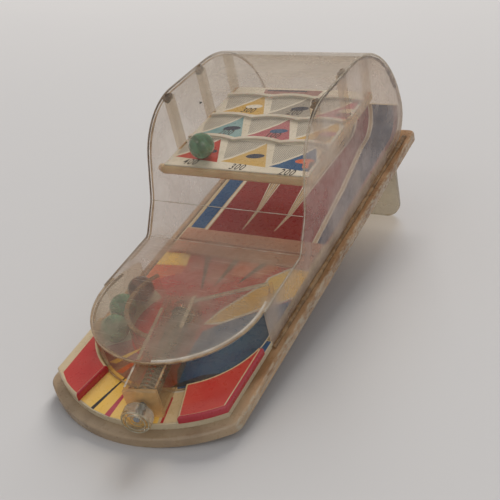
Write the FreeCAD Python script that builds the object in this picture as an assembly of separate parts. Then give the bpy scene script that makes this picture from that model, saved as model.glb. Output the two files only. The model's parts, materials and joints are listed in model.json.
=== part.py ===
"""Clear plastic table-top pinball toy: sprung launcher, round drum, ramp and domed score shelf.

Everything is drawn level on the play deck (X across, Y to the rear, Z up from the deck's face),
then tipped forward about X so that the front rim and the rear stand rest on the table, Z = 0.
"""
import FreeCAD, Part
import math
import os

os.makedirs("parts", exist_ok=True)
V = FreeCAD.Vector
X, Y, Z = V(1, 0, 0), V(0, 1, 0), V(0, 0, 1)

# Driving sizes, mm and degrees
cover_width = 92.0          # outside of the clear cover, across
wall = 2.0                  # clear cover walls
cover_edge_round = 1.0
drum_edge_round = 0.8
deck_sheet = 1.0            # formed play deck
seat_gap = 0.2              # loose seating between parts that are glued or laid in
glue_gap = 0.05             # glue line between curved faces
rim_margin = 6.0            # flange showing outside the cover on each side
tray_plate = 2.0            # floor of the tray
tray_edge = 5.0             # height of the tray's outer edge
tray_corner = 9.0           # rounded front corners of the tray
corner_y = -49.0            # where the straight sides meet the front arc
nose_y = -71.0              # tip of the front arc
rear_y = 202.0              # rear edge of the tray
marble = 14.0               # ball diameter
marble_headroom = 2.0       # under the flat cover
kink_y = 42.0               # rear end of the flat cover
waist = (53.6, 33.5)        # second bend of the front wall, Y and Z
brow_centre = (95.0, 42.0)  # front arc of the dome
brow_radius = 36.0
back_centre = (129.5, 5.0)  # rear arc of the dome
back_radius = 71.0
heel_radius = 18.2          # tight arc under the rear of the dome
ramp_height = 17.0          # top of the ramp above the deck
drum_side_gap = 1.0         # round launch wall inside the cover's sides
drum_end_angle = 30.0       # how far the round wall runs past the side walls
deck_side_gap = 0.5         # deck's front part inside the rim line
deck_nose_gap = 6.0         # deck's front arc behind the tray's
deck_corner_gap = 2.0
deck_join_y = -1.0          # where the wide front of the deck meets the part under the cover
pad_height = 3.5            # raised corner pads
pad_drum_gap = 0.6
pad_edge_y = -10.0          # rear tips of the pads
wedge_y = (-38.0, -60.0)    # low centre wedge, measured across at the drum and at the nose
wedge_left = (-22.5, -26.0)
wedge_right = (21.7, 28.9)
wedge_overrun = 10.0
band_front_y = 52.6         # raised double band across the deck
band_rear_y = 74.0
band_height = 1.0
band_groove = 1.4
band_side_gap = 1.8
stand_y = 174.0             # rear stand
stand_drop = 50.0           # foot below the deck
stand_width = 94.0
stand_thick = 2.5
stand_corner = 10.0
gusset_x = 32.0
gusset_reach = 17.0
gusset_drop = 25.5
shelf_front_y = 68.5        # score shelf
shelf_rear_y = 160.0
shelf_top = 45.0
shelf_thick = 4.0
shelf_round = 1.2
side_seat = 0.3             # shelf to side panels
score_sheet = 0.8
score_margin = 1.0
score_front_margin = 1.5
row_pitch = 24.3
first_row = 31.5
row_count = 3
column_count = 3
ridge_width = 2.4
ridge_height = 1.3
ridge_sag = 2.6
post_y = (90.0, 125.0, 156.0)   # clear posts that carry the shelf
post_width = 7.0
post_thick = 2.4
marble_gap = 0.1            # marbles clear of what they lie on or against
lane_clearance = 0.8
lane_wall_thick = 2.0
lane_angles = (146.0, 268.0)
lane_marble_angle = 161.0   # first marble, then the gaps to the next ones
lane_marble_gaps = (0.0, 0.8, 2.0)
shelf_marble_column = -0.8  # in columns from the middle
shelf_marble_inset = 11.6   # behind the shelf's front edge
guide_start = 4.0           # guide wall begins this far ahead of the housing's rear end
shot_angle = 12.5           # launcher turned across the deck
shot_offset = -1.0          # launcher line at the drum's centre
shot_height = 7.8           # rod's centre above the deck
housing_width = 16.0
housing_wall = 1.8
housing_front = -59.0       # along the launcher's own line
housing_rear = 3.0
front_plate = 2.0
front_plate_drop = 0.5
rod_radius = 1.5
rod_running_gap = 0.08
rod_seat = 1.0              # striker material left in front of the rod
press_gap = 0.02
knob_radius = 7.0
knob_length = 6.0
knob_standoff = 4.6         # knob clear of the front plate
knob_round = 1.2
knob_dish = 4.4
knob_dish_depth = 1.6
striker_side_gap = 0.4      # in the launcher's channel
striker_length = 4.0
striker_cup = 3.2
striker_cup_depth = 1.4
striker_face = 2.5
washer_side_gap = 0.9
washer_thick = 0.8
washer_gap = 0.1
spring_inset = 0.9          # coil's mean radius inside the washer's edge
spring_wire = 0.8
spring_turns = 23
cut_over = 1.0              # cutting tools run past the faces that they cut

# Worked out
half = cover_width / 2
cover_height = marble + marble_headroom + wall
drum_radius = half - drum_side_gap
inner_half = half - wall
tray_half = half + rim_margin
flange_top = -(deck_sheet + seat_gap + wall)
tray_bottom = flange_top - tray_edge
plate_bottom = flange_top - tray_plate
ceiling = cover_height - wall
ball = marble / 2
shelf_reach = inner_half - side_seat
score_reach = shelf_reach - score_margin
column_width = 2 * score_reach / column_count
channel_reach = min(housing_width / 2 - housing_wall, ceiling - housing_wall - shot_height, shot_height)
striker_radius = channel_reach - striker_side_gap
washer_radius = channel_reach - washer_side_gap
spring_radius = washer_radius - spring_inset
knob_back = housing_front - front_plate - knob_standoff
knob_front = knob_back - knob_length
striker_back = striker_face - striker_length
rod_rear = striker_face - striker_cup_depth - rod_seat
washer_front = striker_back - washer_gap - washer_thick


# ---- small drawing helpers ----

def line(a, b):
    return Part.LineSegment(a, b).toShape()


def arc(a, middle, b):
    return Part.Arc(a, middle, b).toShape()


def box(x0, x1, y0, y1, z0, z1):
    return Part.makeBox(x1 - x0, y1 - y0, z1 - z0, V(x0, y0, z0))


def drum(radius, z0, z1):
    return Part.makeCylinder(radius, z1 - z0, V(0, 0, z0), Z)


def slab(outline, z0, z1):
    """A flat outline drawn at Z = 0, made solid from z0 to z1."""
    face = Part.Face(outline)
    face.translate(V(0, 0, z0))
    return face.extrude(V(0, 0, z1 - z0))


def corners(*points):
    return Part.makePolygon(list(points) + [points[0]])


def unit(angle):
    return V(math.cos(math.radians(angle)), math.sin(math.radians(angle)), 0)


def turned(shape):
    """Place a launcher piece, drawn along Y, on its slanted line across the deck."""
    copy = shape.copy()
    copy.rotate(V(0, 0, 0), Z, shot_angle)
    copy.translate(V(shot_offset, 0, 0))
    return copy


def along(radius, y0, y1):
    return Part.makeCylinder(radius, y1 - y0, V(0, y0, shot_height), Y)


# ---- profile of the cover, in the Y Z plane ----

def polar(centre, radius, angle):
    return V(0, centre[0] + radius * math.cos(angle), centre[1] + radius * math.sin(angle))


def heel_centre():
    """Centre of the small arc that meets the rear arc of the dome and ends on the flange."""
    z = flange_top + heel_radius
    return back_centre[0] + math.sqrt((back_radius - heel_radius) ** 2 - (z - back_centre[1]) ** 2), z


def cover_path(inset):
    """Edges from the flat cover's front end over the dome to the heel, moved inwards by inset."""
    top = cover_height - inset
    lean = math.atan2(waist[1] - cover_height, waist[0] - kink_y)
    kink = V(0, kink_y + inset * math.tan(lean / 2), top)
    # front wall runs from the waist as a tangent to the brow arc
    dy, dz = waist[0] - brow_centre[0], waist[1] - brow_centre[1]
    touch = math.atan2(dz, dy) + 2 * math.pi - math.acos(brow_radius / math.hypot(dy, dz))
    steep = touch - math.pi / 2
    miter = inset / math.cos((steep - lean) / 2)
    facing = (steep + lean) / 2 - math.pi / 2
    bend = V(0, waist[0] + miter * math.cos(facing), waist[1] + miter * math.sin(facing))
    brow = brow_radius - inset
    back = back_radius - inset
    heel = heel_radius - inset
    # the two big arcs share a tangent line
    gap_y, gap_z = back_centre[0] - brow_centre[0], back_centre[1] - brow_centre[1]
    normal = math.atan2(gap_z, gap_y) + math.acos((brow_radius - back_radius) / math.hypot(gap_y, gap_z))
    heel_middle = heel_centre()
    join = math.atan2(heel_middle[1] - back_centre[1], heel_middle[0] - back_centre[0])
    down = -math.pi / 2
    brow_start = polar(brow_centre, brow, touch)
    brow_end = polar(brow_centre, brow, normal)
    back_start = polar(back_centre, back, normal)
    back_end = polar(back_centre, back, join)
    return [
        line(V(0, 0, top), kink),
        line(kink, bend),
        line(bend, brow_start),
        arc(brow_start, polar(brow_centre, brow, (touch + normal) / 2), brow_end),
        line(brow_end, back_start),
        arc(back_start, polar(back_centre, back, (normal + join) / 2), back_end),
        arc(back_end, polar(heel_middle, heel, (join + down) / 2), polar(heel_middle, heel, down)),
    ]


def path_ends(edges):
    return edges[0].Vertexes[0].Point, edges[-1].Vertexes[-1].Point


def closed_prism(edges, x0, x1):
    face = Part.Face(Part.Wire(Part.__sortEdges__(edges)))
    face.translate(V(x0, 0, 0))
    return face.extrude(V(x1 - x0, 0, 0))


def band_prism(outer_inset, inner_inset, x0, x1):
    outer, inner = cover_path(outer_inset), cover_path(inner_inset)
    (a, b), (c, d) = path_ends(outer), path_ends(inner)
    return closed_prism(outer + inner + [line(a, c), line(b, d)], x0, x1)


def inside_prism(inset, floor, x0, x1):
    edges = cover_path(inset)
    a, b = path_ends(edges)
    foot_a, foot_b = V(0, a.y, floor), V(0, b.y, floor)
    sides = [line(a, foot_a), line(foot_a, foot_b), line(foot_b, b)]
    return closed_prism(edges + sides, x0, x1)


# ---- tray and stand ----

def arc_front_outline(half_width, tip, corner, rear):
    front_left, front_right = V(-half_width, corner, 0), V(half_width, corner, 0)
    rear_right, rear_left = V(half_width, rear, 0), V(-half_width, rear, 0)
    return Part.Wire([
        arc(front_left, V(0, tip, 0), front_right),
        line(front_right, rear_right),
        line(rear_right, rear_left),
        line(rear_left, front_left),
    ])


def tray_block(inset, z0, z1):
    block = slab(arc_front_outline(tray_half - inset, nose_y + inset, corner_y, rear_y - inset), z0, z1)
    uprights = [e for e in block.Edges if e.BoundBox.ZLength > (z1 - z0) / 2]
    front = [e for e in uprights if e.BoundBox.YMax < 0]
    rear = [e for e in uprights if e.BoundBox.YMax > 0]
    return block.makeFillet(tray_corner - inset, front).makeFillet(tray_corner / 2 - inset / 2, rear)


def make_tray():
    outer = tray_block(0.0, tray_bottom, flange_top)
    top = [e for e in outer.Edges if e.BoundBox.ZMin > flange_top - press_gap]
    outer = outer.makeFillet(tray_plate / 2, top)
    return outer.cut(tray_block(wall, tray_bottom - cut_over, plate_bottom))


def table_angle():
    return math.atan2(tray_bottom + stand_drop, stand_y - stand_thick / 2 - nose_y)


def make_stand():
    width = stand_width / 2
    deep = stand_drop + stand_corner
    plate = box(-width, width, stand_y - stand_thick / 2, stand_y + stand_thick / 2, -deep, plate_bottom)
    for side in (-1, 1):
        web = Part.Face(corners(
            V(0, stand_y, plate_bottom), V(0, stand_y - gusset_reach, plate_bottom),
            V(0, stand_y, plate_bottom - gusset_drop)))
        web.translate(V(side * gusset_x - stand_thick / 2, 0, 0))
        plate = plate.fuse(web.extrude(V(stand_thick, 0, 0)))
    # the foot is trimmed flat to the table, then its corners are rounded
    below = Part.makeBox(4 * width, 3 * rear_y, deep, V(-2 * width, 0, -deep))
    below.rotate(V(0, 0, 0), X, -math.degrees(table_angle()))
    below.translate(V(0, nose_y, tray_bottom))
    plate = plate.cut(below).removeSplitter()
    foot_corners = [
        e for e in plate.Edges
        if abs(abs(e.CenterOfMass.x) - width) < press_gap
        and e.CenterOfMass.z < -stand_drop + stand_corner
        and e.BoundBox.ZLength < stand_thick]
    return plate.makeFillet(stand_corner, foot_corners)


# ---- play deck ----

def deck_outline(inset, z0, z1):
    """The deck's whole outline: wide with an arc in front, narrower under the cover."""
    front = slab(arc_front_outline(
        half + deck_side_gap - inset, nose_y + deck_nose_gap + inset,
        corner_y + deck_corner_gap, deck_join_y - inset), z0, z1)
    side = inner_half - seat_gap - inset
    rear = box(-side, side, deck_join_y - 2 * inset, heel_centre()[0] - inset, z0, z1)
    return front.fuse(rear).removeSplitter()


def wedge_edge(across, y):
    """How far out the centre wedge's edge is at y, on the side whose two half widths are given."""
    return across[0] + (across[1] - across[0]) * (y - wedge_y[0]) / (wedge_y[1] - wedge_y[0])


def pads(inset, z0, z1):
    """The two raised corner pads, between the drum, the centre wedge and the deck's edge."""
    low, high = z0 - cut_over, z1 + cut_over
    block = deck_outline(inset, z0, z1)
    block = block.cut(drum(drum_radius + pad_drum_gap + inset, low, high))
    block = block.cut(box(-tray_half, tray_half, pad_edge_y - inset, rear_y, low, high))
    near, far = wedge_y[0], nose_y - wedge_overrun
    wedge = slab(corners(
        V(wedge_left[0] - inset, near, 0), V(wedge_edge(wedge_left, far) - inset, far, 0),
        V(wedge_edge(wedge_right, far) + inset, far, 0), V(wedge_right[0] + inset, near, 0)), low, high)
    return block.cut(wedge)


def band(inset, z0, z1):
    mid = (band_front_y + band_rear_y) / 2
    reach = inner_half - seat_gap - band_side_gap - inset
    strips = [(band_front_y, mid - band_groove / 2), (mid + band_groove / 2, band_rear_y)]
    made = [box(-reach, reach, y0 + inset, y1 - inset, z0, z1) for y0, y1 in strips]
    return made[0].fuse(made[1])


def make_deck():
    under = flange_top - cut_over
    heel_y = heel_centre()[0]
    skirt = inner_half - seat_gap
    solid = deck_outline(0.0, flange_top, 0.0)
    solid = solid.fuse(pads(0.0, flange_top, pad_height)).fuse(band(0.0, flange_top, band_height))
    hollow = deck_outline(deck_sheet, under, -deck_sheet)
    hollow = hollow.fuse(pads(deck_sheet, under, pad_height - deck_sheet))
    under_ramp = skirt - deck_sheet
    open_rear = box(-under_ramp, under_ramp, heel_y - 2 * deck_sheet, rear_y, under, -deck_sheet)
    deck = solid.cut(hollow.fuse(open_rear))
    ramp = band_prism(wall + seat_gap, wall + seat_gap + deck_sheet, -skirt, skirt)
    keep = box(-skirt, skirt, heel_y, rear_y, -deck_sheet - cut_over, ramp_height)
    return deck.fuse(ramp.common(keep)).removeSplitter()


# ---- clear cover ----

def make_cover_sheet():
    """Round drum top, flat top, front wall and dome, bent from one strip."""
    dome = band_prism(0.0, wall, -half, half)
    outside = Part.Wire(cover_path(0.0))
    long_edges = []
    for e in dome.Edges:
        middle = e.valueAt((e.FirstParameter + e.LastParameter) / 2)
        flat_x = e.BoundBox.XLength < press_gap
        if flat_x and outside.distToShape(Part.Vertex(V(0, middle.y, middle.z)))[0] < press_gap:
            long_edges.append(e)
    dome = dome.makeFillet(cover_edge_round, long_edges)
    disc = drum(drum_radius, ceiling, cover_height)
    rim = [e for e in disc.Edges if e.BoundBox.ZMin > cover_height - press_gap]
    disc = disc.makeFillet(drum_edge_round, rim)
    return dome.fuse(disc).removeSplitter()


def make_side_panel(side):
    x0, x1 = sorted((side * inner_half, side * half))
    panel = inside_prism(wall, flange_top, x0, x1)
    return panel.cut(drum(drum_radius + glue_gap, flange_top - cut_over, cover_height + cut_over))


def housing_room(gap):
    width = housing_width / 2 + gap
    front = housing_front - knob_length - front_plate
    return turned(box(-width, width, front, housing_rear + gap, -cut_over, ceiling + cut_over))


def make_drum_wall():
    ring = drum(drum_radius, 0, ceiling).cut(drum(drum_radius - wall, -cut_over, ceiling + cut_over))
    far = 3 * drum_radius
    opening = slab(corners(V(0, 0, 0), unit(drum_end_angle) * far, V(0, far, 0),
                           unit(180 - drum_end_angle) * far), -cut_over, ceiling + cut_over)
    return ring.cut(opening).cut(housing_room(seat_gap))


def make_lane_wall():
    outer = drum_radius - wall - marble - lane_clearance
    inner = outer - lane_wall_thick
    start, end = (unit(a) for a in lane_angles)
    middle = unit(sum(lane_angles) / 2)
    outline = Part.Wire([
        arc(start * outer, middle * outer, end * outer),
        line(end * outer, end * inner),
        arc(end * inner, middle * inner, start * inner),
        line(start * inner, start * outer),
    ])
    return slab(outline, 0, ceiling).cut(housing_room(seat_gap))


def make_guide_wall():
    near = turned(Part.Vertex(housing_width / 2 - housing_wall / 2, housing_rear - guide_start, 0)).Point
    far = unit(drum_end_angle) * (drum_radius + 2 * wall)
    run = (far - near).normalize()
    side = V(-run.y, run.x, 0) * (lane_wall_thick / 2)
    bar = slab(corners(near + side, far + side, far - side, near - side), 0, ceiling)
    return bar.common(drum(drum_radius - wall - glue_gap, 0, ceiling)).cut(housing_room(seat_gap))


# ---- score shelf ----

def make_shelf():
    shelf = box(-shelf_reach, shelf_reach, shelf_front_y, shelf_rear_y, shelf_top - shelf_thick, shelf_top)
    nose = [e for e in shelf.Edges
            if e.BoundBox.XLength > shelf_reach and e.BoundBox.YMax < shelf_front_y + press_gap]
    return shelf.makeFillet(shelf_round, nose)


def make_ridge(x0, x1, y, z0, z1):
    """One cell's rear ridge, bowed to the rear across its column."""
    middle = (x0 + x1) / 2
    low = y - ridge_width
    outline = Part.Wire([
        arc(V(x0, y, 0), V(middle, y + ridge_sag, 0), V(x1, y, 0)),
        line(V(x1, y, 0), V(x1, low, 0)),
        arc(V(x1, low, 0), V(middle, low + ridge_sag, 0), V(x0, low, 0)),
        line(V(x0, low, 0), V(x0, y, 0)),
    ])
    return slab(outline, z0, z1)


def make_score_sheet():
    rear = shelf_rear_y - score_margin
    top = shelf_top + score_sheet
    sheet = box(-score_reach, score_reach, shelf_front_y + score_front_margin, rear, shelf_top, top)
    for row in range(row_count):
        y = shelf_front_y + first_row + row * row_pitch
        for column in range(column_count):
            x0 = -score_reach + column * column_width
            ridge = make_ridge(x0, x0 + column_width, y, top - score_sheet / 2, top + ridge_height)
            sheet = sheet.fuse(ridge)
    for side in (-1, 1):
        for y in post_y:
            sheet = sheet.cut(post_blank(side, y, seat_gap))
    return sheet.removeSplitter()


def post_blank(side, y, gap):
    x0, x1 = sorted((side * shelf_reach, side * (shelf_reach - post_thick - gap)))
    deep = post_width / 2 + gap
    return box(x0, x1, y - deep, y + deep, shelf_top, back_radius + shelf_top)


def make_post(side, y):
    return post_blank(side, y, 0.0).common(inside_prism(wall + glue_gap, flange_top, -inner_half, inner_half))


# ---- launcher, drawn along Y ----

def make_housing():
    width = housing_width / 2
    shell = box(-width, width, housing_front, housing_rear, 0, ceiling)
    channel = box(housing_wall - width, width - housing_wall, housing_front - cut_over,
                  housing_rear + cut_over, -cut_over, ceiling - housing_wall)
    return shell.cut(channel)


def make_front_plate():
    width = housing_width / 2
    plate = box(-width, width, housing_front - front_plate, housing_front, 0, ceiling - front_plate_drop)
    hole = along(rod_radius + rod_running_gap, housing_front - 2 * front_plate, housing_front + cut_over)
    return plate.cut(hole)


def make_rod():
    return along(rod_radius, knob_front + knob_dish_depth, rod_rear)


def make_knob():
    knob = along(knob_radius, knob_front, knob_back)
    rims = [e for e in knob.Edges if e.BoundBox.YLength < press_gap]
    knob = knob.makeFillet(knob_round, rims)
    dish = along(knob_dish, knob_front - cut_over, knob_front + knob_dish_depth)
    return knob.cut(dish).cut(along(rod_radius + press_gap, knob_front - cut_over, knob_back + cut_over))


def make_striker():
    head = along(striker_radius, striker_back, striker_face)
    cup = along(striker_cup, striker_face - striker_cup_depth, striker_face + cut_over)
    return head.cut(cup).cut(along(rod_radius + press_gap, striker_back - cut_over, rod_rear + press_gap))


def make_washer():
    ring = along(washer_radius, washer_front, washer_front + washer_thick)
    hole = along(rod_radius + press_gap, washer_front - cut_over, washer_front + washer_thick + cut_over)
    return ring.cut(hole)


def make_spring():
    start = housing_front + spring_wire / 2 + seat_gap
    length = washer_front - spring_wire / 2 - seat_gap - start
    helix = Part.makeHelix(length / spring_turns, length, spring_radius)
    section = Part.Wire(Part.makeCircle(spring_wire / 2, V(spring_radius, 0, 0), Y))
    coil = Part.Wire(helix.Edges).makePipeShell([section], True, True)
    coil.rotate(V(0, 0, 0), X, -90)
    coil.translate(V(0, start, shot_height))
    return coil


# ---- marbles ----

def lane_marbles():
    """Marbles in a row along the lane, each its own gap from the one before."""
    radius = drum_radius - wall - ball - lane_clearance / 2
    height = V(0, 0, ball + marble_gap)
    angle = lane_marble_angle
    balls = []
    for gap in lane_marble_gaps:
        if balls:
            angle += 2 * math.degrees(math.asin((marble + gap) / (2 * radius)))
        balls.append(Part.makeSphere(ball, unit(angle) * radius + height))
    return balls


def shelf_marble():
    """A marble lying in the first row."""
    return Part.makeSphere(ball, V(shelf_marble_column * column_width, shelf_front_y + shelf_marble_inset,
                                   shelf_top + score_sheet + ball + marble_gap))


# ---- whole toy ----

def build():
    nodes = {
        "base_tray": make_tray(),
        "rear_stand": make_stand(),
        "play_deck": make_deck(),
        "cover_sheet": make_cover_sheet(),
        "side_panel_left": make_side_panel(-1),
        "side_panel_right": make_side_panel(1),
        "drum_wall": make_drum_wall(),
        "left_lane_wall": make_lane_wall(),
        "right_guide_wall": make_guide_wall(),
        "score_shelf": make_shelf(),
        "score_sheet": make_score_sheet(),
        "plunger_housing": turned(make_housing()),
        "housing_front_plate": turned(make_front_plate()),
        "plunger_rod": turned(make_rod()),
        "plunger_knob": turned(make_knob()),
        "striker_head": turned(make_striker()),
        "spring_washer": turned(make_washer()),
        "plunger_spring": turned(make_spring()),
        "shelf_marble": shelf_marble(),
    }
    for side, name in ((-1, "left"), (1, "right")):
        for y, place in zip(post_y, ("front", "middle", "rear")):
            nodes["shelf_post_%s_%s" % (name, place)] = make_post(side, y)
    for index, marble_solid in enumerate(lane_marbles(), 1):
        nodes["lane_marble_%d" % index] = marble_solid
    return nodes


def stand_on_table(nodes):
    """Tip the toy onto its stand and centre it over the origin."""
    angle = math.degrees(table_angle())
    for shape in nodes.values():
        shape.rotate(V(0, 0, 0), X, angle)
    whole = Part.makeCompound(list(nodes.values())).optimalBoundingBox(False, False)
    shift = V(-(whole.XMin + whole.XMax) / 2, -(whole.YMin + whole.YMax) / 2, -whole.ZMin)
    for shape in nodes.values():
        shape.translate(shift)
    return angle, shift


nodes = build()
angle, shift = stand_on_table(nodes)
for name, shape in nodes.items():
    shape.exportStep("parts/%s.step" % name)
    print("%-22s solids %d  valid %s  volume %.0f" % (name, len(shape.Solids), shape.isValid(), shape.Volume))
pull = turned(Part.Vertex(0, -1, 0)).Point - turned(Part.Vertex(0, 0, 0)).Point
axis = FreeCAD.Rotation(X, angle).multVec(pull)
print("tilt %.4f  shift %.4f %.4f %.4f" % (angle, shift.x, shift.y, shift.z))
print("pull axis %.6f %.6f %.6f" % (axis.x, axis.y, axis.z))
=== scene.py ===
import json
import math
import bmesh
import bpy
from mathutils import Matrix, Vector, noise
from mathutils.geometry import delaunay_2d_cdt


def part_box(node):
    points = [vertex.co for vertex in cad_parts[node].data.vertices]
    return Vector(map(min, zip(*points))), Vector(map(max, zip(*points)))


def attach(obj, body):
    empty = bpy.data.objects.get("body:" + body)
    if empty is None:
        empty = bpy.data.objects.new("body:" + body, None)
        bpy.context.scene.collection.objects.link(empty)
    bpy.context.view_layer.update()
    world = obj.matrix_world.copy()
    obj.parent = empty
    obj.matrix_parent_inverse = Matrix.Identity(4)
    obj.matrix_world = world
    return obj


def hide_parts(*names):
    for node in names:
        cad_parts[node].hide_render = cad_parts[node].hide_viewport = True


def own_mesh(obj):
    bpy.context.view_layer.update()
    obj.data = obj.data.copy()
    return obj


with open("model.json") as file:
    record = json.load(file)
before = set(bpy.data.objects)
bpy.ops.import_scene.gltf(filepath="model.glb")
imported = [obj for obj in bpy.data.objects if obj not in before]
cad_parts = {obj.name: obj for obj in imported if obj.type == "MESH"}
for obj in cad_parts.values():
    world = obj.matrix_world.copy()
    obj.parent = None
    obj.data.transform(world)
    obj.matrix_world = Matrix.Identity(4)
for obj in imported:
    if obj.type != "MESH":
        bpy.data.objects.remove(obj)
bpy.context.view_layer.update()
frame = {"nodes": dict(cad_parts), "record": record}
cadNodes = frame["nodes"]
print("frame loaded:", len(cadNodes), "CAD nodes")

# The deck's own frame: millimetres, level with the play deck, Y = 0 at the drum's middle.
deckFrame = {
    "marbleAngle": 161.0,   # first lane marble, round the drum
    "marbleRadius": 35.6,
    "marbleHeight": 7.1,
}
pullAxis = Vector(frame["record"]["behaviour"]["joints"][0]["axis"])
deckTilt = math.atan2(-pullAxis.z, -pullAxis.y)
deckTurn = Matrix.Rotation(deckTilt, 4, "X")


def nodeMiddle(node):
    low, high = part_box(node)
    return (low + high) / 2


def onCircle(radius, angle, z=0.0):
    return Vector((radius * math.cos(math.radians(angle)), radius * math.sin(math.radians(angle)), z))


firstMarble = onCircle(deckFrame["marbleRadius"], deckFrame["marbleAngle"], deckFrame["marbleHeight"])
deckOrigin = nodeMiddle("lane_marble_1") - deckTurn @ (firstMarble / 1000)
deckToRow = Matrix.Translation(deckOrigin) @ deckTurn @ Matrix.Scale(0.001, 4)
rowToDeck = deckToRow.inverted()


def deckPoints(node):
    return [rowToDeck @ v.co for v in cadNodes[node].data.vertices]


def deckBox(node):
    points = deckPoints(node)
    low = Vector([min(p[i] for p in points) for i in range(3)])
    high = Vector([max(p[i] for p in points) for i in range(3)])
    return low, high


# shader helpers

def put(tree, kind, settings=None, feeds=None):
    # adds one shader node, sets its options, and fills or links its inputs
    made = tree.nodes.new(kind)
    for name, value in (settings or {}).items():
        setattr(made, name, value)
    for name, value in (feeds or {}).items():
        socket = made.inputs[name]
        if isinstance(value, bpy.types.NodeSocket):
            tree.links.new(value, socket)
        else:
            socket.default_value = value
    return made


def deckCoords(tree):
    # the surface point in deck millimetres
    place = put(tree, "ShaderNodeTexCoord").outputs["Object"]
    return put(tree, "ShaderNodeMapping", {"vector_type": "TEXTURE"}, {
        "Vector": place, "Location": deckOrigin, "Rotation": (deckTilt, 0, 0),
        "Scale": (0.001, 0.001, 0.001)}).outputs[0]


def grain(tree, coords, scale, detail=3.0, stretch=None, rough=0.55):
    if stretch:
        coords = put(tree, "ShaderNodeMapping", None, {"Vector": coords, "Scale": stretch}).outputs[0]
    return put(tree, "ShaderNodeTexNoise", None, {
        "Vector": coords, "Scale": scale, "Detail": detail, "Roughness": rough}).outputs["Fac"]


def ramped(tree, value, low, high, toLow=0.0, toHigh=1.0):
    return put(tree, "ShaderNodeMapRange", {"interpolation_type": "SMOOTHSTEP"}, {
        "Value": value, "From Min": low, "From Max": high, "To Min": toLow, "To Max": toHigh}).outputs[0]


def sums(tree, kind, a, b, clamp=False):
    made = put(tree, "ShaderNodeMath", {"operation": kind, "use_clamp": clamp}, {0: a})
    if isinstance(b, bpy.types.NodeSocket):
        tree.links.new(b, made.inputs[1])
    else:
        made.inputs[1].default_value = b
    return made.outputs[0]


def patches(tree, coords, scale, detail, *ends):
    return ramped(tree, grain(tree, coords, scale, detail), *ends)


def bumped(tree, coords, strength, depth, scale, detail):
    return put(tree, "ShaderNodeBump", None, {
        "Strength": strength, "Distance": depth,
        "Height": grain(tree, coords, scale, detail)}).outputs[0]


def layered(tree, share, under, over):
    return put(tree, "ShaderNodeMixShader", None, {
        0: share, 1: under.outputs[0], 2: over.outputs[0]})


def blended(tree, share, a, b):
    made = put(tree, "ShaderNodeMix", {"data_type": "RGBA"}, {0: share})
    for socket, value in ((made.inputs[6], a), (made.inputs[7], b)):
        if isinstance(value, bpy.types.NodeSocket):
            tree.links.new(value, socket)
        else:
            socket.default_value = (*value, 1)
    return made.outputs[2]


def newMaterial(name):
    made = bpy.data.materials.new(name)
    made.use_nodes = True
    made.node_tree.nodes.clear()
    return made, made.node_tree, put(made.node_tree, "ShaderNodeOutputMaterial")


def showShader(tree, out, shader):
    tree.links.new(shader.outputs[0], out.inputs["Surface"])


def tinted(hexColour):
    # a paint chip's hex colour as linear red, green, blue
    parts = [int(hexColour[i:i + 2], 16) / 255 for i in (0, 2, 4)]
    return tuple(c / 12.92 if c <= 0.04045 else ((c + 0.055) / 1.055) ** 2.4 for c in parts)


# finishes

def printedPlastic(name, colour, worn):
    # ink on a formed styrene sheet: faded in clouds, with fine wear
    made, tree, out = newMaterial(name)
    coords = deckCoords(tree)
    clouds = patches(tree, coords, 0.05, 4, 0.35, 0.7, 0.0, 0.5)
    specks = patches(tree, coords, 1.6, 2, 0.62, 0.75, 0.0, 0.45)
    fade = sums(tree, "ADD", clouds, specks, True)
    base = blended(tree, fade, tinted(colour), tinted(worn))
    rough = patches(tree, coords, 0.3, 4, 0.3, 0.7, 0.22, 0.44)
    bump = bumped(tree, coords, 0.12, 0.0003, 0.25, 2)
    shader = put(tree, "ShaderNodeBsdfPrincipled", None, {
        "Base Color": base, "Roughness": rough, "Normal": bump,
        "Coat Weight": 0.35, "Coat Roughness": 0.12})
    showShader(tree, out, shader)
    return made


def ramped01(tree, value, low, high):
    return put(tree, "ShaderNodeMapRange", None, {
        "Value": value, "From Min": low, "From Max": high}).outputs[0]


def hazeMask(tree, coords, look):
    # how milky the plastic is here: clouds, rubbed streaks and dirt in bands along Y
    clouds = patches(tree, coords, 0.035, 5, 0.3, 0.75, 0.45, 1.5)
    amount = sums(tree, "MULTIPLY", clouds, look["haze"])
    rubbed = ramped(tree, grain(tree, coords, 1.0, 4, (0.05, 1.1, 0.4)), 0.56, 0.75, 0.0, look["rub"])
    amount = sums(tree, "ADD", amount, rubbed, True)
    if "bands" in look:
        along = put(tree, "ShaderNodeSeparateXYZ", None, {0: coords}).outputs[1]
        ramp = put(tree, "ShaderNodeFloatCurve")
        curve = ramp.mapping.curves[0]
        start, end = look["bands"][0][0], look["bands"][-1][0]
        tree.links.new(ramped01(tree, along, start, end), ramp.inputs["Value"])
        while len(curve.points) < len(look["bands"]):
            curve.points.new(0.5, 0.5)
        for point, (y, share) in zip(curve.points, look["bands"]):
            point.location = ((y - start) / (end - start), share)
            point.handle_type = "VECTOR"
        ramp.mapping.update()
        amount = sums(tree, "MULTIPLY", amount, ramp.outputs[0])
    return amount


def letLightThrough(tree, whole, shade):
    # lamps and bounced light pass with only a light tint, as through real thin sheet
    path = put(tree, "ShaderNodeLightPath")
    passed = sums(tree, "MAXIMUM", path.outputs["Is Shadow Ray"], path.outputs["Is Diffuse Ray"])
    free = put(tree, "ShaderNodeBsdfTransparent", None, {"Color": (*tinted(shade), 1)})
    return layered(tree, passed, whole, free)


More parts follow.
